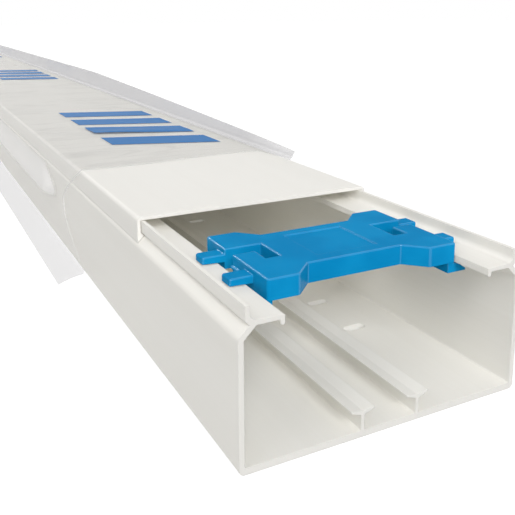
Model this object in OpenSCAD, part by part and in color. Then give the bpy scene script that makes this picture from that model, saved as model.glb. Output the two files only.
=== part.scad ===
// Perforated wiring duct: an extruded base with a slotted floor, a clip-on lid that is slid back,
// a moulded cable clip across the mouth, and a clear film sleeve round the wrapped stretch.
// X is the width, Y the length with the open front end at -Y, and Z is up from the underside.

/* [Stock] */
// Length of the base and of the lid
stock_len = 2000; // [800:50:3000]
// Overall width
duct_w = 120; // [100:1:200]
// Overall height with the lid on
duct_h = 60; // [50:1:90]
// How far the lid's front end stands back from the base's front end
lid_setback = 101.5; // [85:0.5:200]

/* [Base section] */
// Thickness of the side walls
wall_t = 2; // [1.8:0.1:3]
// Thickness of the floor
floor_t = 2.4; // [1.6:0.1:3]
// Outer radius of the two bottom corners
corner_r = 2; // [1:0.1:3]
// Fillet where the floor meets a wall or a rail
floor_fillet = 0.6; // [0.3:0.1:1.2]

/* [Lid seat] */
// Depth of the lid's skirts, from the top of the duct to the shoulder
skirt_h = 12.5; // [11:0.5:14]
// Inward run of the 45 degree shoulder, down to the bottom of the groove
shoulder_run = 4; // [3.4:0.1:5]
// Radius of the outer edge between the wall and the shoulder
shoulder_r = 3; // [1:0.5:4]
// Inset of the snap rib's outer face from the wall's outer face
rib_inset = 2.5; // [2.3:0.1:2.8]
// Thickness of the snap rib
rib_t = 1.7; // [1.4:0.1:2.6]
// Fillet where the rib meets the shelf
rib_fillet = 2.2; // [0.4:0.1:2.5]

/* [Shelf and lip] */
// Reach of the shelf from the wall's outer face
shelf_reach = 16.7; // [14:0.1:24]
// How far the shelf's underside lies below the bottom of the groove
shelf_drop = 0.4; // [0.3:0.1:1.5]
// Thickness of the shelf beside the rib
shelf_root_t = 1.8; // [1.6:0.1:4]
// Thickness of the shelf at its inner edge
shelf_tip_t = 1.3; // [1.1:0.1:1.7]
// Thickness of the lip that hangs from the shelf
lip_t = 1.7; // [1.2:0.1:2.4]
// Depth of the lip below the shelf's underside
lip_drop = 1.9; // [1.5:0.1:4]

/* [Divider rails] */
// Distance of each T-shaped rail from the middle
rail_x = 12; // [9:0.5:25]
// Thickness of a rail's web
web_t = 1.4; // [1:0.1:2.5]
// Height of the head's underside at the web
head_z = 8.5; // [6:0.5:14]
// Width across the head
head_w = 9.8; // [8:0.1:14]
// Rise of the head's wings from the web to their tips
head_rise = 1.5; // [0:0.1:2.5]
// Thickness of the head over the web
head_root_t = 1.3; // [1:0.1:2]
// Thickness of a wing's tip
head_tip_t = 0.7; // [0.5:0.1:1.2]

/* [Floor slots] */
// Length of a slot across the duct
slot_len = 11; // [8:0.5:16]
// Width of a slot
slot_w = 4.6; // [3.5:0.1:6]
// Distance of each row of slots from the middle
slot_x = 33; // [26:0.5:40]
// Distance from the front end to the first slot
slot_first = 70; // [40:1:120]
// Distance between the two slots of a pair
slot_gap = 32; // [20:1:50]
// Distance from one pair to the next
slot_pitch = 192; // [120:2:300]

/* [Lid] */
// Thickness of the lid's top
lid_t = 1.6; // [1.2:0.1:2.2]
// Thickness of the lid's skirts
skirt_t = 1.5; // [1.2:0.1:1.7]
// Outer radius of the lid's long edges
lid_r = 2; // [0.6:0.1:2.2]
// How far the skirts stand in from the walls' outer faces
lid_inset = 0.6; // [0:0.1:0.8]
// Distance of the barb's tip from the bottom of the groove
barb_back = 0.6; // [0.55:0.05:0.9]
// Width of the flat on the barb's tip
barb_land = 0.3; // [0.15:0.05:0.35]
// Clearance between the lid and the base
lid_gap = 0.3; // [0.2:0.05:0.5]

/* [Cable clip] */
// Length of the clip along the duct
clip_len = 53; // [44:1:70]
// Distance from the base's front end to the clip
clip_setback = 17; // [5:1:25]
// Play between each end of the clip's body and the lip, when the clip sits in the middle
clip_play = 1.5; // [1.5:0.1:3]
// How far the clip sits to the right of the middle, within its play
clip_shift = 1.2; // [0:0.1:1.2]
// Depth of the clip's body
clip_h = 8; // [7:0.5:10]
// Radius of the body's four upright corners
clip_r = 1.2; // [0.5:0.1:1.8]
// Thickness of the clip's moulded walls
clip_t = 2; // [1.5:0.1:2.5]
// Width of the waist along the duct
waist_len = 37; // [30:1:40]
// Length of the waist across the duct
waist_w = 42; // [36:1:52]
// Width of the sunk panel across the duct
panel_w = 27; // [20:1:34]
// Length of the sunk panel along the duct
panel_len = 26; // [16:1:29]
// Depth of the sunk panel
panel_depth = 0.6; // [0.2:0.1:1]
// Width of each spring arm across the duct
arm_w = 9.5; // [8:0.5:11]
// Distance from an arm's free end to the block behind it
arm_slot = 7; // [5:0.5:9]
// How far the nose of a spring arm stands out from the clip's end
nose_reach = 0.9; // [0.5:0.1:1.2]
// Depth of that nose below the clip's top
nose_depth = 4; // [3:0.5:4.5]
// Width of the pocket that frees an arm
pocket_w = 6; // [5:0.5:8]
// Length of the pocket along the duct
pocket_len = 16; // [12:0.5:17]
// Width of each tab that lies on a shelf
tab_w = 7; // [5:0.5:9]
// Thickness of a tab at its outer end
tab_t = 2.6; // [1.8:0.1:2.8]
// Radius of a tab's outer top edge
tab_r = 0.9; // [0.5:0.1:1.6]
// Length of a tab past the clip's end
tab_len = 9.2; // [7:0.1:10]
// Distance of each tab from the clip's middle
tab_y = 12.1; // [11:0.1:13]
// Reach of a snap foot past the clip's end
foot_reach = 6.6; // [4.5:0.1:7.5]
// Thickness of a snap foot's upright leg
foot_leg = 2.6; // [2:0.1:4]
// Depth of a snap foot below the lip
foot_h = 3.8; // [2:0.1:5]
// Thickness of a snap foot at its tip
foot_tip_t = 0.8; // [0.6:0.1:1.4]
// Width of a snap foot along the duct
foot_w = 9; // [6:0.5:12]
// Clearance between the clip and the base or the lid
clip_gap = 0.3; // [0.2:0.05:0.6]

/* [Film sleeve] */
// Thickness of the film as modelled
film_t = 0.3; // [0.1:0.05:0.5]
// Clearance between the film and the duct
film_gap = 0.4; // [0.3:0.05:1]
// Distance from the base's front end to the film's front edge
film_setback = 205; // [190:5:400]
// Distance from the base's back end to the film's back edge
film_tail = 15; // [0:5:200]
// Width of the two welded edges
fin_w = 17; // [6:1:25]
// Upward tilt of the upper welded edge
fin_tilt = 30; // [10:5:60]

/* [Hidden] */
$fn = 48;

pvc = [0.93, 0.925, 0.905];
clip_blue = [0.03, 0.50, 0.79];
film_clear = [0.93, 0.94, 0.97, 0.45];

front = -stock_len / 2;
half_w = duct_w / 2;
cut = 1;

shoulder_z = duct_h - skirt_h;
groove_z = shoulder_z + shoulder_run;
rib_foot_z = groove_z + shoulder_run - rib_inset;
rib_top = duct_h - lid_t - lid_gap;
rib_inner = rib_inset + rib_t;
shelf_z = groove_z - shelf_drop;
shelf_root_z = shelf_z + shelf_root_t;
shelf_tip_z = shelf_z + shelf_tip_t;
lip_z = shelf_z - lip_drop;
bend_z = shoulder_z - wall_t * (sqrt(2) - 1);
bend_run = shelf_z - bend_z;

slot_pairs = floor((stock_len - 2 * slot_first - slot_gap) / slot_pitch);
slot_ys = [for (i = [0:slot_pairs], j = [0, 1]) front + slot_first + i * slot_pitch + j * slot_gap];

skirt_z = shoulder_z + lid_gap * sqrt(2);
skirt_inner = lid_inset + skirt_t;
barb_tip = shoulder_run - barb_back;
barb_z = skirt_z + barb_tip;

mouth = half_w - shelf_reach;
clip_y = front + clip_setback + clip_len / 2;
clip_top = duct_h - lid_t - 2 * clip_gap;
clip_end = mouth - clip_play;
flare = (clip_len - waist_len) / 2;
clip_z = clip_top - clip_h;
pocket_in = clip_end - arm_w - pocket_w;
pocket_back = tab_y - tab_w / 2;
tab_slope = (shelf_root_z - shelf_tip_z) / (shelf_reach - rib_inner);
tab_bend = mouth - clip_shift;
tab_tip = clip_end + tab_len;
tab_foot_z = shelf_tip_z + clip_gap;
tab_end_z = tab_foot_z + tab_slope * (tab_tip - tab_bend);
tab_top = tab_end_z + tab_t;
nose_z = tab_foot_z + tab_slope * nose_reach;
foot_tip = clip_end + foot_reach;
foot_top = lip_z - clip_gap;
foot_z = foot_top - foot_h;

// Quarter-round filler for an inside corner that opens towards +X and +Y.
module inside_corner(r) {
    difference() {
        translate([-r / 4, -r / 4]) square(1.25 * r);
        translate([r, r]) circle(r);
    }
}

// What a rounding takes from a square outside corner whose material lies towards +X and +Y.
module outside_corner(r) {
    difference() {
        translate([-r, -r]) square(2 * r);
        translate([r, r]) circle(r);
        translate([r, -r]) square(2 * r);
        translate([-r, r]) square(2 * r);
    }
}

// What a rounding takes from the outer edge where the wall, below, turns into the 45 degree shoulder.
module shoulder_rounding(r) {
    tangent = r * tan(22.5);
    end = tangent / sqrt(2);
    difference() {
        polygon([[r, -tangent], [-cut, -tangent], [-cut, cut], [end - cut, end + cut]]);
        translate([r, -tangent]) circle(r);
    }
}

// Draws its children on the left side and again, mirrored, on the right side.
module both_sides() {
    for (side = [0, 1]) mirror([side, 0, 0]) translate([-half_w, 0]) children();
}

// Turns a drawn section upright and runs it along Y, centred on the given place.
module run_along(length, y) {
    translate([0, y, 0]) rotate([90, 0, 0]) linear_extrude(length, center = true) children();
}

// The left half's outline from the outer bottom edge, up the wall and back to the floor, then its mirror.
function whole_outline(half) = concat(
    [for (p = half) [p[0] - half_w, p[1]]],
    [for (i = [len(half) - 1:-1:0]) [half_w - half[i][0], half[i][1]]]
);

base_half = [
    [0, 0],
    [0, shoulder_z],
    [shoulder_run, groove_z],
    [rib_inset, rib_foot_z],
    [rib_inset, rib_top],
    [rib_inner, rib_top],
    [rib_inner, shelf_root_z],
    [shelf_reach, shelf_tip_z],
    [shelf_reach, lip_z + lip_t / 2],
    [shelf_reach - lip_t, lip_z + lip_t / 2],
    [shelf_reach - lip_t, shelf_z],
    [wall_t + bend_run, shelf_z],
    [wall_t, bend_z],
    [wall_t, floor_t]
];

// T-shaped rail with a shallow V head, drawn about its own middle and rooted in the floor.
module rail_section() {
    polygon([
        [-web_t / 2, floor_t / 2],
        [-web_t / 2, head_z],
        [-head_w / 2, head_z + head_rise],
        [-head_w / 2, head_z + head_rise + head_tip_t],
        [0, head_z + head_root_t],
        [head_w / 2, head_z + head_rise + head_tip_t],
        [head_w / 2, head_z + head_rise],
        [web_t / 2, head_z],
        [web_t / 2, floor_t / 2]
    ]);
}

module base_profile() {
    run_along(stock_len, 0) polygon(whole_outline(base_half));
    run_along(stock_len, 0) both_sides() translate([half_w - rail_x, 0]) rail_section();
    run_along(stock_len, 0) both_sides()
        translate([shelf_reach - lip_t / 2, lip_z + lip_t / 2]) circle(lip_t / 2);
    run_along(stock_len, 0) both_sides() translate([rib_inner, shelf_root_z]) inside_corner(rib_fillet);
    run_along(stock_len, 0) both_sides() translate([wall_t, floor_t]) inside_corner(floor_fillet);
    for (side = [0, 1]) run_along(stock_len, 0) both_sides() translate([half_w - rail_x, floor_t])
        mirror([side, 0, 0]) translate([web_t / 2, 0]) inside_corner(floor_fillet);
}

// Round-ended slot through the floor, its length across the duct.
module floor_slot() {
    run = slot_len - slot_w;
    translate([0, 0, -cut]) {
        for (end = [-1, 1]) translate([end * run / 2, 0, 0]) cylinder(floor_t + 2 * cut, d = slot_w);
        translate([-run / 2, -slot_w / 2, 0]) cube([run, slot_w, floor_t + 2 * cut]);
    }
}

module duct_base() {
    color(pvc) difference() {
        base_profile();
        run_along(stock_len + 2 * cut, 0) both_sides() outside_corner(corner_r);
        run_along(stock_len + 2 * cut, 0) both_sides()
            translate([0, shoulder_z]) shoulder_rounding(shoulder_r);
        for (y = slot_ys, side = [-1, 1]) translate([side * slot_x, y, 0]) floor_slot();
    }
}

lid_half = [
    [skirt_inner, duct_h - lid_t],
    [skirt_inner, barb_z + barb_land + barb_tip - skirt_inner],
    [barb_tip, barb_z + barb_land],
    [barb_tip, barb_z],
    [lid_inset, skirt_z + lid_inset],
    [lid_inset, duct_h]
];

module duct_lid() {
    color(pvc) difference() {
        union() {
            run_along(stock_len, lid_setback) polygon(whole_outline(lid_half));
            run_along(stock_len, lid_setback) both_sides()
                translate([skirt_inner, duct_h - lid_t]) mirror([0, 1]) inside_corner(lid_r / 5);
        }
        run_along(stock_len + 2 * cut, lid_setback) both_sides()
            translate([lid_inset, duct_h]) mirror([0, 1]) outside_corner(lid_r);
    }
}

// The clip's plan outline, drawn in by the given wall.
function clip_outline(wall) =
    let (
        end_x = clip_end - wall,
        end_y = clip_len / 2 - wall,
        waist_y = waist_len / 2 - wall,
        bend = wall * tan(22.5),
        waist_x = waist_w / 2 + bend,
        flare_x = waist_w / 2 + flare + bend,
        quarter = [[waist_x, waist_y], [flare_x, end_y], [end_x, end_y]]
    )
    concat(
        quarter,
        [for (i = [2:-1:0]) [quarter[i][0], -quarter[i][1]]],
        [for (p = quarter) [-p[0], -p[1]]],
        [for (i = [2:-1:0]) [-quarter[i][0], quarter[i][1]]]
    );

// Tab in side view: it follows the slope of the shelf that it lies on.
module tab_section() {
    difference() {
        polygon([
            [clip_end - clip_t, tab_foot_z],
            [tab_bend, tab_foot_z],
            [tab_tip, tab_end_z],
            [tab_tip, tab_top],
            [clip_end - clip_t, tab_top]
        ]);
        translate([tab_tip, tab_top]) rotate(180) outside_corner(tab_r);
    }
}

// Snap foot in side view: an upright leg that passes the lip, with a toe that reaches outwards under it.
module foot_section() {
    polygon([
        [clip_end - foot_leg, clip_z + clip_t],
        [clip_end - foot_leg, foot_z],
        [foot_tip, foot_z],
        [foot_tip, foot_z + foot_tip_t],
        [clip_end + clip_t, foot_top],
        [clip_end, foot_top],
        [clip_end, clip_z + clip_t]
    ]);
}

// One end of the clip: two tabs on the shelf, two feet under the lip and the nose of the spring arm.
module clip_end_parts() {
    for (side = [-1, 1]) {
        run_along(tab_w, side * tab_y) tab_section();
        run_along(foot_w, side * (clip_len / 2 - clip_r - foot_w / 2)) foot_section();
    }
    translate([clip_end - clip_t, -pocket_back, nose_z])
        cube([clip_t + nose_reach, 2 * pocket_back - arm_slot, clip_top - nose_depth - nose_z]);
}

// The L-shaped opening round one spring arm, from top to bottom, grown by the given wall.
module arm_opening(wall) {
    translate([pocket_in - wall, pocket_back - pocket_len - wall, clip_z - cut])
        cube([pocket_w + 2 * wall, pocket_len + 2 * wall, clip_h + 2 * cut]);
    translate([pocket_in - wall, pocket_back - arm_slot - wall, clip_z - cut])
        cube([pocket_w + arm_w + wall + cut, arm_slot + 2 * wall, clip_h + 2 * cut]);
}

// What the rounding of the body's upright corners takes away at one end.
module corner_rounding() {
    for (side = [0, 1]) mirror([0, side, 0]) translate([clip_end, -clip_len / 2, clip_z - cut])
        linear_extrude(clip_h + 2 * cut) rotate(90) outside_corner(clip_r);
}

// The clip's hollow underside, less the walls round the two openings.
module clip_hollow() {
    difference() {
        translate([0, 0, clip_z - cut]) linear_extrude(clip_h - clip_t + cut) polygon(clip_outline(clip_t));
        for (side = [0, 1]) mirror([side, 0, 0]) arm_opening(clip_t);
    }
}

module cable_clip() {
    color(clip_blue) translate([clip_shift, clip_y, 0]) {
        difference() {
            translate([0, 0, clip_z]) linear_extrude(clip_h) polygon(clip_outline(0));
            clip_hollow();
            for (side = [0, 1]) mirror([side, 0, 0]) {
                arm_opening(0);
                corner_rounding();
            }
            translate([0, 0, clip_top]) cube([panel_w, panel_len, 2 * panel_depth], center = true);
        }
        for (side = [0, 1]) mirror([side, 0, 0]) clip_end_parts();
    }
}

// Film over the top and both sides, with a welded edge on the floor at the left and another that stands up
// at the right.
module film_sleeve() {
    length = stock_len - film_setback - film_tail;
    middle = (film_setback - film_tail) / 2;
    side_x = half_w + film_gap;
    top_z = duct_h + film_gap;
    color(film_clear) {
        run_along(length, middle) translate([-side_x - fin_w, film_t]) square([fin_w, film_t]);
        run_along(length, middle) translate([-side_x - film_t, film_t]) square([film_t, top_z]);
        run_along(length, middle)
            translate([-side_x - film_t, top_z]) square([2 * (side_x + film_t), film_t]);
        run_along(length, middle) translate([side_x, film_t]) square([film_t, top_z]);
        run_along(length, middle) translate([side_x, top_z]) rotate(fin_tilt) square([fin_w, film_t]);
    }
}

duct_base();
duct_lid();
cable_clip();
film_sleeve();
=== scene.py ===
import math
import bmesh
import bpy
from mathutils import Matrix, Vector, noise


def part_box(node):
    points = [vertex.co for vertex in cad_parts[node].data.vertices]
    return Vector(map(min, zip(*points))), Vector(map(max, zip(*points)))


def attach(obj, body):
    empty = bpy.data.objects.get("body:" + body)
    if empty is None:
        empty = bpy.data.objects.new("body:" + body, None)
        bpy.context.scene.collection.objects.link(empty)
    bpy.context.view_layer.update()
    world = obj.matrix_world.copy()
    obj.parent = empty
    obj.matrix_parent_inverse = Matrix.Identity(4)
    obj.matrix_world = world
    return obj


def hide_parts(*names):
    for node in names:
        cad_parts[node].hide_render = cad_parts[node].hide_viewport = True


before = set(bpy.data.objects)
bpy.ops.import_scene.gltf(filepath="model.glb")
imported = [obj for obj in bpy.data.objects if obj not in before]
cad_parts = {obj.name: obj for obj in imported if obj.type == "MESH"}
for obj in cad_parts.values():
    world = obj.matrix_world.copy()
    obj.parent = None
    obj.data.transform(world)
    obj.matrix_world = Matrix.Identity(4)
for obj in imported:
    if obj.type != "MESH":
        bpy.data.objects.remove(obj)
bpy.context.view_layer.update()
baseLow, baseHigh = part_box("duct_base")
lidLow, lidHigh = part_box("duct_lid")
filmLow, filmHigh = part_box("film_sleeve")
scene = bpy.context.scene
mm = 0.001
hair = 0.01 * mm  # tells a point on a face from one past it
print("frame loaded:", sorted(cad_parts))


# Shader helpers. A value that is a socket is linked, anything else is typed into the input.
def addNode(tree, kind, inputs=None, **settings):
    made = tree.nodes.new(kind)
    for name, value in settings.items():
        setattr(made, name, value)
    for name, value in (inputs or {}).items():
        if isinstance(value, bpy.types.NodeSocket):
            tree.links.new(value, made.inputs[name])
        else:
            made.inputs[name].default_value = value
    return made


def mathNode(tree, operation, first, second=0.0, third=0.0):
    return addNode(tree, "ShaderNodeMath", {0: first, 1: second, 2: third}, operation=operation).outputs[0]


def remap(tree, value, fromMin, fromMax, toMin, toMax, kind="SMOOTHSTEP"):
    inputs = {"Value": value, "From Min": fromMin, "From Max": fromMax, "To Min": toMin, "To Max": toMax}
    return addNode(tree, "ShaderNodeMapRange", inputs, interpolation_type=kind).outputs[0]


def mixColour(tree, factor, first, second):
    return addNode(tree, "ShaderNodeMix", {0: factor, 6: first, 7: second}, data_type="RGBA").outputs[2]


def stretched(tree, vector, scale):
    return addNode(tree, "ShaderNodeMapping", {"Vector": vector, "Scale": scale}).outputs[0]


def noiseNode(tree, vector, scale, detail=2.0, roughness=0.5, distortion=0.0):
    return addNode(tree, "ShaderNodeTexNoise", {
        "Vector": vector, "Scale": scale, "Detail": detail, "Roughness": roughness,
        "Distortion": distortion}).outputs[0]


def newGroup(name, inputs, outputs):
    tree = bpy.data.node_groups.new(name, "ShaderNodeTree")
    for label, kind, value in inputs:
        socket = tree.interface.new_socket(name=label, in_out="INPUT", socket_type=kind)
        if value is not None:
            socket.default_value = value
    for label, kind in outputs:
        tree.interface.new_socket(name=label, in_out="OUTPUT", socket_type=kind)
    return tree, tree.nodes.new("NodeGroupInput").outputs, tree.nodes.new("NodeGroupOutput").inputs


def newMaterial(name):
    material = bpy.data.materials.new(name)
    material.use_nodes = True
    tree = material.node_tree
    tree.nodes.clear()
    output = tree.nodes.new("ShaderNodeOutputMaterial")
    return material, tree, output


def placeGroup(tree, group, inputs):
    return addNode(tree, "ShaderNodeGroup", inputs, node_tree=group).outputs


def objectCoords(tree):
    return tree.nodes.new("ShaderNodeTexCoord").outputs["Object"]


# Stage
stageLook = {
    "floorSize": 14.0,
    "floorDrop": 0.2 * mm,
    "floorColour": (0.22, 0.218, 0.212, 1),
    "seenColour": (0.22, 0.22, 0.22, 1),  # what the camera sees of the floor's own shade
    "seenLift": 0.87,  # plain white added to it, so the lit floor is white and the shadow stays
    "tableGlow": 0.34,  # light that the pale table gives off by itself, also through the slots
    "skyStrength": 0.43,
    "skyColour": (1.0, 0.995, 0.985, 1),
}


def lookedAt(tree):
    path = tree.nodes.new("ShaderNodeLightPath").outputs
    seen = mathNode(tree, "MAXIMUM", path["Is Camera Ray"], path["Is Glossy Ray"])
    return mathNode(tree, "MAXIMUM", seen, path["Is Transmission Ray"])


def makeFloor():
    bm = bmesh.new()
    bmesh.ops.create_grid(bm, x_segments=8, y_segments=8, size=stageLook["floorSize"] / 2)
    bmesh.ops.translate(bm, vec=(0, 0, -stageLook["floorDrop"]), verts=bm.verts)
    mesh = bpy.data.meshes.new("studioFloor")
    bm.to_mesh(mesh)
    bm.free()
    floor = bpy.data.objects.new("studioFloor", mesh)
    scene.collection.objects.link(floor)
    material, tree, output = newMaterial("studioFloorPaint")
    seen = lookedAt(tree)
    colour = mixColour(tree, seen, stageLook["floorColour"], stageLook["seenColour"])
    paint = addNode(tree, "ShaderNodeBsdfDiffuse", {"Color": colour}).outputs[0]
    lift = remap(tree, seen, 0.0, 1.0, stageLook["tableGlow"], stageLook["seenLift"], "LINEAR")
    glow = addNode(tree, "ShaderNodeEmission", {"Strength": lift}).outputs[0]
    both = addNode(tree, "ShaderNodeAddShader", {0: paint, 1: glow}).outputs[0]
    tree.links.new(both, output.inputs["Surface"])
    mesh.materials.append(material)


def makeSky():
    world = bpy.data.worlds.new("studioSky")
    scene.world = world
    world.use_nodes = True
    tree = world.node_tree
    tree.nodes.clear()
    seen = lookedAt(tree)
    strength = remap(tree, seen, 0.0, 1.0, stageLook["skyStrength"], 1.0, "LINEAR")
    colour = mixColour(tree, seen, stageLook["skyColour"], (1, 1, 1, 1))
    sky = addNode(tree, "ShaderNodeBackground", {"Color": colour, "Strength": strength}).outputs[0]
    tree.links.new(sky, tree.nodes.new("ShaderNodeOutputWorld").inputs["Surface"])


makeFloor()
makeSky()
print("stage ready")


# Lights: broad soft suns, so the whole length is lit alike
lightSetup = {
    "sideLamp": {"strength": 0.50, "softDeg": 40, "tiltDeg": (44, -85), "colour": (1.0, 0.99, 0.97)},
    "backLamp": {"strength": 0.26, "softDeg": 6, "tiltDeg": (63, 193), "colour": (1.0, 0.99, 0.975)},
    "frontLamp": {"strength": 2.30, "softDeg": 32, "tiltDeg": (56, -14), "colour": (1.0, 0.99, 0.975)},
}
lightBounces = 14  # enough for the light to find its way along the inside


def addLamp(name, setup):
    lamp = bpy.data.lights.new(name, "SUN")
    lamp.energy = setup["strength"]
    lamp.angle = math.radians(setup["softDeg"])
    lamp.color = setup["colour"]
    holder = bpy.data.objects.new(name, lamp)
    pitch, turn = (math.radians(a) for a in setup["tiltDeg"])
    holder.matrix_world = Matrix.Rotation(turn, 4, "Z") @ Matrix.Rotation(pitch, 4, "X")
    scene.collection.objects.link(holder)


for lampName, lampValues in lightSetup.items():
    addLamp(lampName, lampValues)
scene.view_settings.view_transform = "Standard"
scene.cycles.diffuse_bounces = lightBounces
scene.cycles.max_bounces = lightBounces + 2
print("lights ready")


# Camera, beside the open end and a little above it
cameraSetup = {
    "place": (-0.1464, -0.1825, 0.1468),  # from the middle of the open end, on the floor
    "yawDeg": 27.11,
    "pitchDeg": 11.47,
    "rollDeg": -0.24,
    "sensor": 36,
    "lens": 49.38,
    "shiftY": -0.2,
}


def addCamera():
    data = bpy.data.cameras.new("photoCamera")
    data.sensor_width = cameraSetup["sensor"]
    data.lens = cameraSetup["lens"]
    data.shift_y = cameraSetup["shiftY"]
    data.clip_start, data.clip_end = 0.01, 60
    camera = bpy.data.objects.new("photoCamera", data)
    yaw, pitch, roll = (math.radians(cameraSetup[k]) for k in ("yawDeg", "pitchDeg", "rollDeg"))
    turn = Matrix.Rotation(-yaw, 4, "Z") @ Matrix.Rotation(math.pi / 2 - pitch, 4, "X")
    turn = turn @ Matrix.Rotation(roll, 4, "Z")
    place = Vector(cameraSetup["place"]) + Vector((0, baseLow.y, 0))
    camera.matrix_world = Matrix.Translation(place) @ turn
    scene.collection.objects.link(camera)
    scene.camera = camera


addCamera()
print("camera ready")


# Shared effects
def makeDrawLines():
    # lines that the die leaves along the length, and slow waves of tone across them
    tree, given, put = newGroup(
        "drawLines",
        [("Vector", "NodeSocketVector", None), ("Fineness", "NodeSocketFloat", 900.0)],
        [("Height", "NodeSocketFloat"), ("Tone", "NodeSocketFloat")],
    )
    lineStretch, waveStretch = (1.0, 0.004, 1.0), (1.0, 0.05, 1.0)
    waveScale = 60.0
    fineShare = 0.35  # of the tone, the rest is slow
    fine = noiseNode(tree, stretched(tree, given["Vector"], lineStretch), given["Fineness"], 3.0, 0.6)
    slow = noiseNode(tree, stretched(tree, given["Vector"], waveStretch), waveScale, 2.0)
    fineTone = mathNode(tree, "MULTIPLY", fine, fineShare)
    tone = mathNode(tree, "MULTIPLY_ADD", slow, 1 - fineShare, fineTone)
    tree.links.new(fine, put["Height"])
    tree.links.new(tone, put["Tone"])
    return tree


def makeGrain():
    # fine moulded or die-rolled grain with a few larger specks
    tree, given, put = newGroup(
        "plasticGrain",
        [("Vector", "NodeSocketVector", None), ("Size", "NodeSocketFloat", 1.0)],
        [("Height", "NodeSocketFloat"), ("Specks", "NodeSocketFloat")],
    )
    speckScale = 0.2  # of the grain's, so a speck is five grains wide
    scale = mathNode(tree, "DIVIDE", 1.0, mathNode(tree, "MULTIPLY", given["Size"], mm))
    grain = noiseNode(tree, given["Vector"], scale, 2.0, 0.6)
    coarse = noiseNode(tree, given["Vector"], mathNode(tree, "MULTIPLY", scale, speckScale), 3.0, 0.6)
    tree.links.new(grain, put["Height"])
    tree.links.new(remap(tree, coarse, 0.58, 0.75, 0.0, 1.0), put["Specks"])
    return tree


drawLines = makeDrawLines()
plasticGrain = makeGrain()

# White PVC
pvcLooks = {
    "basePvc": {
        "colour": (0.915, 0.908, 0.880, 1),
        "shade": (0.895, 0.887, 0.855, 1),
        # the sawn ends are darker than the wall, as painted shade that tones down the strong front lamp on
        # them
        "cutShadeColour": (0.775, 0.769, 0.748, 1),
        "roughness": 0.42,
        "shine": 0.16,
        "lines": 900.0,
        "lineDepth": 0.03,
        "grain": 0.5,
        "grainShare": 0.25,  # depth of the grain beside that of the lines
        "roughSway": 0.04,  # up and down with the tone
        "sawnRough": 0.2,  # added on the sawn ends
        "edge": 0.35 * mm,
        "glow": 0.15,  # share of the light that sinks into the wall and shows on its other side
    },
    "lidPvc": {
        "colour": (0.915, 0.908, 0.882, 1),
        "shade": (0.899, 0.891, 0.862, 1),
        # the sawn ends are a little darker, as painted shade that tones down the front lamp on them
        "cutShadeColour": (0.880, 0.874, 0.852, 1),
        "roughness": 0.40,
        "shine": 0.16,
        "lines": 700.0,
        "lineDepth": 0.03,
        "grain": 0.5,
        "grainShare": 0.25,
        "roughSway": 0.04,
        "sawnRough": 0.2,
        "edge": 0.35 * mm,
        "glow": 0.15,
    },
}


def makePvc(name, look, low, high):
    material, tree, output = newMaterial(name)
    spot = objectCoords(tree)
    lines = placeGroup(tree, drawLines, {"Vector": spot, "Fineness": look["lines"]})
    grain = placeGroup(tree, plasticGrain, {"Vector": spot, "Size": look["grain"]})
    facing = tree.nodes.new("ShaderNodeNewGeometry").outputs["Normal"]
    facingY = addNode(tree, "ShaderNodeSeparateXYZ", {0: facing}).outputs["Y"]
    sawn = remap(tree, mathNode(tree, "ABSOLUTE", facingY), 0.9, 0.98, 0.0, 1.0)
    along = addNode(tree, "ShaderNodeSeparateXYZ", {0: spot}).outputs["Y"]
    middle, half = (low.y + high.y) / 2, (high.y - low.y) / 2
    fromMiddle = mathNode(tree, "ABSOLUTE", mathNode(tree, "SUBTRACT", along, middle))
    atEnd = mathNode(tree, "GREATER_THAN", fromMiddle, half - 1 * mm)
    sawn = mathNode(tree, "MULTIPLY", sawn, atEnd)
    tone = remap(tree, lines["Tone"], 0.35, 0.65, 0.0, 1.0)
    colour = mixColour(tree, tone, look["shade"], look["colour"])
    # painted shade on the sawn ends
    colour = mixColour(tree, sawn, colour, look["cutShadeColour"])
    height = addNode(tree, "ShaderNodeMix", {0: sawn, 2: lines["Height"], 3: 0.5}).outputs[0]
    height = mathNode(tree, "ADD", height, mathNode(tree, "MULTIPLY", grain["Height"], look["grainShare"]))
    sway = remap(tree, tone, 0.0, 1.0, -look["roughSway"], look["roughSway"], "LINEAR")
    roughness = mathNode(tree, "ADD", sway, look["roughness"])
    roughness = mathNode(tree, "ADD", roughness, mathNode(tree, "MULTIPLY", sawn, look["sawnRough"]))
    soft = addNode(tree, "ShaderNodeBevel", {"Radius": look["edge"]}, samples=6).outputs[0]
    bump = addNode(tree, "ShaderNodeBump", {
        "Strength": look["lineDepth"], "Distance": 0.2 * mm, "Height": height, "Normal": soft}).outputs[0]
    shader = addNode(tree, "ShaderNodeBsdfPrincipled", {
        "Base Color": colour, "Roughness": roughness, "Normal": bump, "Specular IOR Level": look["shine"]})
    through = addNode(tree, "ShaderNodeBsdfTranslucent", {"Color": colour})
    both = addNode(tree, "ShaderNodeMixShader", {
        0: look["glow"], 1: shader.outputs[0], 2: through.outputs[0]})
    tree.links.new(both.outputs[0], output.inputs["Surface"])
    return material


def dress(nodeName, material):
    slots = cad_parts[nodeName].data.materials
    slots.clear()
    slots.append(material)


dress("duct_base", makePvc("basePvc", pvcLooks["basePvc"], baseLow, baseHigh))
dress("duct_lid", makePvc("lidPvc", pvcLooks["lidPvc"], lidLow, lidHigh))
print("white plastic ready")

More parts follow.
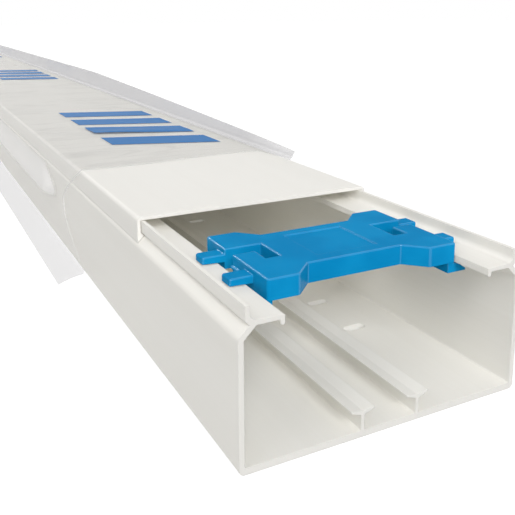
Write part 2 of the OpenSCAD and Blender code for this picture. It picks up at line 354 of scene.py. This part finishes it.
# Blue cable clip
clipLook = {
    "edgeRadius": 0.6 * mm,
    "edgeSteps": 4,
    "footShare": 0.35,  # of that radius on the thin feet under the lips
    "innerShare": 0.5,  # and in the hollow corners
    "flatDeg": 0.5,  # faces that meet flatter than this are joined
    "sharpDeg": 25,  # and edges sharper than this are rounded
    "bevelRoom": 0.45,  # share of a short edge that the rounding at each of its ends may take
    "feetBelow": 10 * mm,  # under the base's rim the clip is only its feet
    "colour": (0.004, 0.262, 0.560, 1),
    "shade": (0.002, 0.225, 0.505, 1),
    "thrown": (0.30, 0.36, 0.43, 1),  # paler, what it throws on the white plastic round it
    "roughness": 0.20,
    "topRoughness": 0.50,
    "shine": 0.012,
    "edgeShine": 0.45,
    "driftScale": 45.0,  # of the slow change from shade to colour
    "grain": 0.45,
    "grainDepth": 0.10,
    "sideGrain": 0.25,  # share of that depth on the smooth sides
    "speckRough": 0.06,
}


def makeClipPlastic(name, shine):
    look = clipLook
    material, tree, output = newMaterial(name)
    spot = objectCoords(tree)
    grain = placeGroup(tree, plasticGrain, {"Vector": spot, "Size": look["grain"]})
    facing = tree.nodes.new("ShaderNodeNewGeometry").outputs["Normal"]
    facingZ = addNode(tree, "ShaderNodeSeparateXYZ", {0: facing}).outputs["Z"]
    top = remap(tree, facingZ, 0.96, 0.995, 0.0, 1.0)
    drift = noiseNode(tree, spot, look["driftScale"], 2.0)
    colour = mixColour(tree, remap(tree, drift, 0.35, 0.65, 0.0, 1.0), look["shade"], look["colour"])
    bounced = tree.nodes.new("ShaderNodeLightPath").outputs["Is Diffuse Ray"]
    colour = mixColour(tree, bounced, colour, look["thrown"])
    roughness = remap(tree, top, 0.0, 1.0, look["roughness"], look["topRoughness"], "LINEAR")
    specks = mathNode(tree, "MULTIPLY", grain["Specks"], look["speckRough"])
    roughness = mathNode(tree, "ADD", roughness, specks)
    depth = remap(tree, top, 0.0, 1.0, look["sideGrain"], 1.0, "LINEAR")
    height = mathNode(tree, "MULTIPLY", grain["Height"], depth)
    bump = addNode(tree, "ShaderNodeBump", {
        "Strength": look["grainDepth"], "Distance": 0.2 * mm, "Height": height}).outputs[0]
    shader = addNode(tree, "ShaderNodeBsdfPrincipled", {
        "Base Color": colour, "Roughness": roughness, "Normal": bump, "Specular IOR Level": shine})
    tree.links.new(shader.outputs[0], output.inputs["Surface"])
    return material


def facesDown(face):
    return face.normal.z < -0.9


def weighEdges(bm):
    # how much of the edge radius each edge gets
    look = clipLook
    weights = bm.edges.layers.float.new("bevel_weight_edge")
    feetLevel = baseHigh.z - look["feetBelow"]
    sharp = [e for e in bm.edges if e.calc_face_angle(0) > math.radians(look["sharpDeg"])]
    for edge in sharp:
        if any(facesDown(f) for f in edge.link_faces):
            edge.smooth = False  # the rims of the underside stay crisp
            continue
        low = min(v.co.z for v in edge.verts) < feetLevel
        hollow = edge.calc_face_angle_signed(0) < 0
        share = look["footShare"] if low else look["innerShare"] if hollow else 1.0
        run = (edge.verts[1].co - edge.verts[0].co).normalized()
        for other in {e for v in edge.verts for e in v.link_edges} - {edge}:
            across = other.verts[1].co - other.verts[0].co
            turnsOff = abs(run.dot(across.normalized())) < 0.8
            if other in sharp and turnsOff:
                share = min(share, look["bevelRoom"] * across.length / look["edgeRadius"])
        edge[weights] = share


def makeClip():
    bm = bmesh.new()
    bm.from_mesh(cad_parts["cable_clip"].data)
    bmesh.ops.remove_doubles(bm, verts=bm.verts, dist=hair)
    flat = math.radians(clipLook["flatDeg"])
    bmesh.ops.dissolve_limit(bm, angle_limit=flat, verts=bm.verts, edges=bm.edges)
    rims = [f for f in bm.faces if facesDown(f) and len(f.verts) > 8]  # hollow outlines with many corners
    bmesh.ops.triangulate(bm, faces=rims)
    for face in bm.faces:
        face.smooth = True
    weighEdges(bm)
    mesh = bpy.data.meshes.new("clip_body")
    bm.to_mesh(mesh)
    bm.free()
    clip = bpy.data.objects.new("clip_body", mesh)
    scene.collection.objects.link(clip)
    rounded = clip.modifiers.new("roundedEdges", "BEVEL")
    rounded.width = clipLook["edgeRadius"]
    rounded.segments = clipLook["edgeSteps"]
    rounded.limit_method = "WEIGHT"
    rounded.use_clamp_overlap = False
    rounded.material = 1  # the rounded edges are polished
    even = clip.modifiers.new("evenFaces", "WEIGHTED_NORMAL")  # keeps the flat faces flat beside them
    even.keep_sharp = True
    mesh.materials.append(makeClipPlastic("bluePlastic", clipLook["shine"]))
    mesh.materials.append(makeClipPlastic("bluePlasticEdge", clipLook["edgeShine"]))
    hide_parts("cable_clip")
    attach(clip, "clip")


makeClip()
print("clip ready")

# Clear film sleeve
filmLook = {
    "gap": 0.35 * mm,  # from the plastic under it
    "layerGap": 0.3 * mm,  # between the two layers of the upper welded edge
    "floorGap": 0.2 * mm,  # under the welded edge that lies on the floor
    "corner": 1.6 * mm,
    "cornerSteps": 3,
    "column": 1.5 * mm,
    "rows": 300,
    "rowCrowding": 1.6,  # above 1 the rows lie closer near the open end
    # the cut at the open end; a pair of lengths is where something begins and ends
    "cutBack": 46 * mm,  # that it stands back half way up the sides
    "cutCurve": 1.2,
    "cutLead": 3 * mm,  # and forward at their foot
    "floorLead": 10 * mm,  # further forward, the rim of the welded edge on the floor
    "floorCurve": 1.6,
    "topSway": 3 * mm,  # to and fro on the lid
    "topSwayRate": 45,
    "cutFade": 0.12,  # behind the cut, where the film is straight again
    "roll": 1.1 * mm,  # outward, of the sides just behind it
    "rollGrows": (0.0, 2.5 * mm),
    "rollFades": (5 * mm, 18 * mm),
    # a painted highlight along the cut edge, as if it caught the light
    "hemFades": (0.6 * mm, 2.0 * mm),  # the cut edge catches the light
    "hemClimb": (8 * mm, 34 * mm),  # heights between which it grows brighter
    "hemLow": 0.3,  # share of that light near the floor
    # the soft fold along each side, with a painted highlight on its upper slope
    "foldHeight": 30 * mm,
    "foldTop": 50 * mm,  # above this the film lies on the lid's skirt
    "foldWander": 3.5 * mm,  # up and down
    "foldWanderRate": 5.5,
    "foldStart": 26 * mm,  # behind the cut
    "foldDelay": 64 * mm,  # added to that near the skirt
    "foldDelayClimb": (34 * mm, 48 * mm),
    "foldOpens": (-10 * mm, 45 * mm),  # before and after its start
    "foldShines": (-5 * mm, 11 * mm),
    "foldLowerEdge": (-2 * mm, 1 * mm),  # of the shine, from the fold's height
    "foldUpperEdge": (0.0, 4 * mm),  # and down from its top
    "foldFoot": 2 * mm,  # below this it shines as the hem does
    "bulge": 5.6 * mm,
    "bulgeSway": 2.45 * mm,
    # low creases across the lid
    "ripple": 1.98 * mm,
    "rippleRate": (9, 46),  # across and along, as noise steps per metre
    "ripplePatch": (11, 8),  # they come in patches
    "rippleMilk": 0.30,
    "rippleEdge": 8 * mm,  # beside the lid's edges they die away
    "rippleGrows": (0.0, 0.012),
    "rippleFades": (0.05, 0.30),
    "rippleLost": 0.6,  # share that is gone there
    # the upper welded edge
    "tiltFront": 52,  # degrees that it stands up, at the open end and further back
    "tiltBack": 67,
    "tiltSway": 5,
    "tiltSwayRate": 6,
    "tiltSwayGrows": (0.0, 0.1),
    "tiltRun": 0.484,
    "bendRun": 3 * mm,  # over which it bends up
    "narrowed": 0.28,  # share of its width that it has at the open end
    "narrowCurve": 0.8,
    "ahead": 27 * mm,  # that it reaches past the cut there
    "aheadWidth": 7 * mm,  # of the lid beside it that comes along
    "aheadClimb": (-12 * mm, -4 * mm),  # and of the side, from the lid's top
    # how milky it looks, from -1, hardly seen, over 0, clear, to 1, milky; the fold and the cut edge use
    # it for a painted highlight
    "flatMilk": -1.0,  # where it lies on the wall
    "skirtMilk": -0.6,
    # painted highlights on the fold and on the cut edge; the cut edge's value also starts the milk of the
    # welded edge on the floor
    "foldHighlight": 0.85,
    "hemHighlightAndMilk": 0.9,
    "weldMilk": 0.8,  # at the foot of the upper welded edge
    "weldMilkRun": 9 * mm,  # to a milk of 1 on that edge, and on the one on the floor
    "floorMilkRun": 3 * mm,
    "sheerAlpha": 0.03,  # how dense it is at a milk of -1, 0 and 1
    "clearAlpha": 0.15,
    "milkyAlpha": 0.60,
    # its colour, with painted shade on the welded edges, and its finish
    "clearColour": (0.40, 0.40, 0.40, 1),
    "milkyColour": (0.945, 0.945, 0.955, 1),
    # painted shade on the welded edges, over the film's own lavender grey
    "weldShadeColour": (0.605, 0.602, 0.622, 1),
    "weldShadeFloor": 0.86,  # share of that colour on the welded edge on the floor
    "weldShadeFoot": 1.25,  # and at the foot of the upper one
    "weldShadeFootRun": 5 * mm,
    "weldShadeFront": 0.6,  # share of it that the upper one has at the open end
    "weldShadeFrontRun": (0.01, 0.06),
    "weldShadeAndMilkRun": 8 * mm,  # of the lid beside the upper welded edge that takes it on
    "roughness": 0.24,
    "shine": 0.01,
    "crinkleScale": 42.0,
    "crinkleStretch": (0.25, 1.0, 0.5),
    "crinkleDepth": 0.10,
    "creaseWidth": 0.05,
    "creaseAlpha": 0.05,
    # the print
    "print": (0.012, 0.165, 0.460, 1),
    "printAlpha": 0.97,
    "printRepeat": 0.52,
    "barPitch": 0.047,
    "barWidth": 0.030,
    "barSlant": 0.35,
    "barStart": 0.055,
    "barStop": 0.235,
    "barMiddle": 0.012,
    "barReach": 0.034,
}
filmSide = baseHigh.x + filmLook["gap"]
filmTop = lidHigh.z + filmLook["gap"]


def filmSection():
    # the sheet's corners from the welded edge on the floor, over the duct, to the foot of the far side
    side, top = filmSide, filmTop
    under = top - filmLook["layerGap"]
    foot = filmLow.z + filmLook["floorGap"]
    weld = -side - filmLow.x
    return [
        (filmLow.x, foot), (-side, foot), (-side, top), (side, top),
        (side + weld, top), (side + weld, under), (side, under), (side, foot),
    ]


def smoothStep(low, high, value):
    t = min(max((value - low) / (high - low), 0.0), 1.0)
    return t * t * (3 - 2 * t)


def blend(first, second, share):
    return first + (second - first) * share


def frontWave(x, z):
    # how far the film's front edge stands behind its straight cut
    look = filmLook
    side = baseHigh.x
    beyond, above = x - side, z - lidHigh.z
    if beyond > 1 * mm:
        return -look["ahead"]
    if x < -side - 1 * mm:
        rim = (-side - x) / (-side - filmLow.x)
        return -look["cutLead"] - look["floorLead"] * rim ** look["floorCurve"]
    if beyond > -look["aheadWidth"] and above > look["aheadClimb"][0]:
        along = smoothStep(-look["aheadWidth"], 0.0, beyond) * smoothStep(*look["aheadClimb"], above)
        return -look["ahead"] * along
    if abs(x) > side - 1 * mm:
        rise = min(max(z / lidHigh.z, 0), 1)
        return look["cutBack"] * math.sin(math.pi * rise) ** look["cutCurve"] - look["cutLead"]
    return look["topSway"] * math.sin(x * look["topSwayRate"])


def sideBulge(x, y, z, behind):
    # a soft fold that runs along the side, tight at the foot and on the lid's skirt, with a painted
    # highlight on its upper slope, given as milk
    look = filmLook
    high = look["foldTop"]
    if z > high:
        return 0.0, look["skirtMilk"]
    past = behind - look["foldStart"] - look["foldDelay"] * smoothStep(*look["foldDelayClimb"], z)
    wander = noise.noise(Vector((y * look["foldWanderRate"], 3.1, math.copysign(2.0, x))))
    fold = look["foldHeight"] + look["foldWander"] * wander
    tent = z / fold if z < fold else (high - z) / (high - fold)
    out = (look["bulge"] + look["bulgeSway"] * wander) * smoothStep(0.0, 1.0, tent)
    out *= smoothStep(*look["foldOpens"], past)
    if z < look["foldFoot"]:
        return out, look["hemHighlightAndMilk"]
    # painted highlight on the fold's upper slope
    shine = smoothStep(*look["foldLowerEdge"], z - fold) * smoothStep(*look["foldUpperEdge"], high - z)
    shine *= smoothStep(*look["foldShines"], past)
    return out, blend(look["flatMilk"], look["foldHighlight"], shine)


def frontRoll(z, behind):
    # the sides roll out a little just behind the cut, but not at their foot and top
    look = filmLook
    if not 3 * mm < z < lidHigh.z - 2 * mm:
        return 0.0
    left = 1 - smoothStep(*look["rollFades"], behind)
    return look["roll"] * smoothStep(*look["rollGrows"], behind) * left


def topRipple(x, y, behind):
    # low creases across the lid, most of them just behind the open end
    look = filmLook
    inner = smoothStep(0.0, look["rippleEdge"], baseHigh.x - abs(x))
    near = 1.0 - look["rippleLost"] * smoothStep(*look["rippleFades"], behind)
    patchAcross, patchAlong = look["ripplePatch"]
    patch = smoothStep(-0.1, 0.4, noise.noise(Vector((x * patchAcross, y * patchAlong, 5.2))))
    across, along = x * look["rippleRate"][0], y * look["rippleRate"][1]
    cross = max(0.0, noise.noise(Vector((across, along + across, 0.4))))
    lift = inner * near * patch * cross * smoothStep(*look["rippleGrows"], behind)
    return look["ripple"] * lift, look["rippleMilk"] * lift


def raiseWeld(x, y, z, behind):
    # the upper welded edge stands up and grows wider from the open end to tiltRun
    look = filmLook
    tilt = blend(look["tiltFront"], look["tiltBack"], smoothStep(0.0, look["tiltRun"], behind))
    sway = noise.noise(Vector((y * look["tiltSwayRate"], 1.7, 0.2)))
    tilt += look["tiltSway"] * sway * smoothStep(*look["tiltSwayGrows"], behind)
    run = behind + look["ahead"] * smoothStep(0.0, look["cutFade"], behind)
    grown = min(run / look["tiltRun"], 1.0) ** look["narrowCurve"]
    out = (x - filmSide) * blend(look["narrowed"], 1.0, grown)
    turn = math.radians(tilt) * smoothStep(0.0, look["bendRun"], out)
    raised = Matrix.Rotation(-turn, 3, "Y") @ Vector((out, 0, z - filmTop))
    return raised + Vector((filmSide, y, filmTop))


def sculptPoint(x, y, z, behind):
    # moves one point of the straight sleeve and says how milky the film looks there, painted highlights on
    # the fold and the cut edge included
    look = filmLook
    place = Vector((x, y, z))
    if x > filmSide + hair:
        milk = blend(look["weldMilk"], 1.0, smoothStep(0.0, look["weldMilkRun"], x - filmSide))
        return raiseWeld(x, y, z, behind), milk
    if x < -filmSide - hair:
        return place, blend(look["hemHighlightAndMilk"], 1.0, smoothStep(0.0, look["floorMilkRun"], -filmSide - x))
    if abs(x) > baseHigh.x - 0.5 * mm and z < filmTop - 1 * mm:
        out, milk = sideBulge(x, y, z, behind)
        place.x += math.copysign(out + frontRoll(z, behind), x)
        return place, milk
    lift, milk = topRipple(x, y, behind)
    place.z += lift
    return place, max(milk, look["weldMilk"] * smoothStep(-look["weldShadeAndMilkRun"], 0.0, x - filmSide))


def hemHighlightShare(z, behind):
    # how much painted highlight the cut edge gets
    hem = 1 - smoothStep(*filmLook["hemFades"], behind)
    return hem * blend(filmLook["hemLow"], 1.0, smoothStep(*filmLook["hemClimb"], z))


def weldShadeShare(x, behind):
    # how much of the painted shade colour the film gets
    look = filmLook
    if x < -filmSide - hair:
        return look["weldShadeFloor"]
    beyond = x - baseHigh.x
    share = smoothStep(-look["weldShadeAndMilkRun"], -1 * mm, beyond)
    share *= blend(look["weldShadeFoot"], 1.0, smoothStep(0.0, look["weldShadeFootRun"], beyond))
    return share * blend(look["weldShadeFront"], 1.0, smoothStep(*look["weldShadeFrontRun"], behind))


def bandMask(tree, value, low, high):
    above = mathNode(tree, "GREATER_THAN", value, low)
    return mathNode(tree, "MULTIPLY", above, mathNode(tree, "LESS_THAN", value, high))


def printMask(tree, axes):
    # a block of plain slanted bars on the lid, again every half metre
    look = filmLook
    along = mathNode(tree, "SUBTRACT", axes["Y"], filmLow.y)
    turn = mathNode(tree, "MODULO", along, look["printRepeat"])
    fromMiddle = mathNode(tree, "SUBTRACT", axes["X"], look["barMiddle"])
    slanted = mathNode(tree, "MULTIPLY_ADD", fromMiddle, look["barSlant"], turn)
    fromStart = mathNode(tree, "SUBTRACT", slanted, look["barStart"])
    stripe = mathNode(tree, "MODULO", fromStart, look["barPitch"])
    bars = mathNode(tree, "MULTIPLY", bandMask(tree, stripe, 0.0, look["barWidth"]),
                    bandMask(tree, slanted, look["barStart"], look["barStop"]))
    across = bandMask(tree, fromMiddle, -look["barReach"], look["barReach"])
    onTop = mathNode(tree, "GREATER_THAN", axes["Z"], lidHigh.z - 1 * mm)
    return mathNode(tree, "MULTIPLY", mathNode(tree, "MULTIPLY", bars, across), onTop)


def makeFilmPlastic():
    look = filmLook
    material, tree, output = newMaterial("clearFilm")
    spot = objectCoords(tree)
    axes = addNode(tree, "ShaderNodeSeparateXYZ", {0: spot}).outputs
    # raised carries the painted shade of the welded edges
    milk, raised, pale = (addNode(tree, "ShaderNodeAttribute", attribute_name=name).outputs["Fac"]
                          for name in ("milk", "raised", "pale"))
    pulled = stretched(tree, spot, look["crinkleStretch"])
    crinkle = noiseNode(tree, pulled, look["crinkleScale"], 3.0, 0.5, 0.8)
    fromEven = mathNode(tree, "ABSOLUTE", mathNode(tree, "SUBTRACT", crinkle, 0.5))
    crease = remap(tree, fromEven, 0.0, look["creaseWidth"], 1.0, 0.0)
    inked = printMask(tree, axes)
    # the welded edges take the painted shade colour
    milkyColour = mixColour(tree, raised, look["milkyColour"], look["weldShadeColour"])
    colour = mixColour(tree, pale, look["clearColour"], milkyColour)
    colour = mixColour(tree, inked, colour, look["print"])
    sheer = remap(tree, milk, -1.0, 0.0, look["sheerAlpha"], look["clearAlpha"], "LINEAR")
    milky = remap(tree, milk, 0.0, 1.0, 0.0, look["milkyAlpha"] - look["clearAlpha"], "LINEAR")
    creased = mathNode(tree, "MULTIPLY", crease, remap(tree, pale, 0.3, 0.9, look["creaseAlpha"], 0.0))
    alpha = mathNode(tree, "ADD", mathNode(tree, "ADD", sheer, milky), creased)
    alpha = addNode(tree, "ShaderNodeMix", {0: inked, 2: alpha, 3: look["printAlpha"]}).outputs[0]
    bump = addNode(tree, "ShaderNodeBump", {
        "Strength": look["crinkleDepth"], "Distance": 1 * mm, "Height": crinkle}).outputs[0]
    shader = addNode(tree, "ShaderNodeBsdfPrincipled", {
        "Base Color": colour, "Alpha": alpha, "Roughness": look["roughness"], "Normal": bump, "IOR": 1.5,
        "Specular IOR Level": look["shine"]})
    tree.links.new(shader.outputs[0], output.inputs["Surface"])
    return material


def layFilm(bm, length):
    # the straight sleeve: its section drawn out along the duct, with round corners and a fine grid
    look = filmLook
    corners = [bm.verts.new((x, filmLow.y, z)) for x, z in filmSection()]
    edges = [bm.edges.new(pair) for pair in zip(corners, corners[1:])]
    bmesh.ops.extrude_edge_only(bm, edges=edges)
    bm.verts.ensure_lookup_table()
    bmesh.ops.translate(bm, vec=(0, length, 0), verts=bm.verts[len(corners):])
    leastFold = 0.3  # radians, so the lid's flat run into the upper weld stays flat
    folds = [e for e in bm.edges if len(e.link_faces) == 2 and e.calc_face_angle(0) > leastFold]
    soft = [e for e in folds if abs(e.verts[0].co.x) < baseHigh.x + 1 * mm]  # not the weld's own rim
    bmesh.ops.bevel(bm, geom=soft, offset=look["corner"], offset_type="OFFSET", affect="EDGES",
                    segments=look["cornerSteps"], profile=0.5, material=-1, clamp_overlap=True)
    crossEdges = [e for e in bm.edges if abs(e.verts[0].co.y - e.verts[1].co.y) < mm]
    mostCuts = int(max(e.calc_length() for e in crossEdges) / look["column"])
    for cuts in range(1, mostCuts + 1):
        same = [e for e in crossEdges if e.is_valid and int(e.calc_length() / look["column"]) == cuts]
        if same:
            bmesh.ops.subdivide_edges(bm, edges=same, cuts=cuts, use_grid_fill=True)
    longEdges = [e for e in bm.edges if abs(e.verts[0].co.y - e.verts[1].co.y) > mm]
    bmesh.ops.subdivide_edges(bm, edges=longEdges, cuts=look["rows"], use_grid_fill=True)


def sculptFilm(bm, length):
    # milk sets how dense the film is, with painted highlights on the fold and the cut edge; raised and
    # pale set its colour, raised as painted shade on the welded edges
    look = filmLook
    milkLayer = bm.verts.layers.float.new("milk")
    weldShadeLayer = bm.verts.layers.float.new("raised")
    paleLayer = bm.verts.layers.float.new("pale")
    for vert in bm.verts:
        behind = length * ((vert.co.y - filmLow.y) / length) ** look["rowCrowding"]
        x, y, z = vert.co.x, filmLow.y + behind, vert.co.z
        vert.co, milk = sculptPoint(x, y, z, behind)
        vert.co.y += frontWave(x, z) * (1 - smoothStep(0.0, look["cutFade"], behind))
        # painted highlight along the cut edge
        milk = blend(milk, look["hemHighlightAndMilk"], hemHighlightShare(z, behind))
        onTop = abs(x) < baseHigh.x and z > lidHigh.z - 0.5 * mm
        vert[milkLayer] = milk
        vert[weldShadeLayer] = weldShadeShare(x, behind)
        vert[paleLayer] = max(milk, 0.0) if onTop else 1.0


def makeFilm():
    length = filmHigh.y - filmLow.y
    bm = bmesh.new()
    layFilm(bm, length)
    sculptFilm(bm, length)
    bmesh.ops.recalc_face_normals(bm, faces=bm.faces)
    for face in bm.faces:
        face.smooth = True
    mesh = bpy.data.meshes.new("wrapping_film")
    bm.to_mesh(mesh)
    bm.free()
    film = bpy.data.objects.new("wrapping_film", mesh)
    scene.collection.objects.link(film)
    mesh.materials.append(makeFilmPlastic())
    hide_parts("film_sleeve")
    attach(film, "base")


makeFilm()
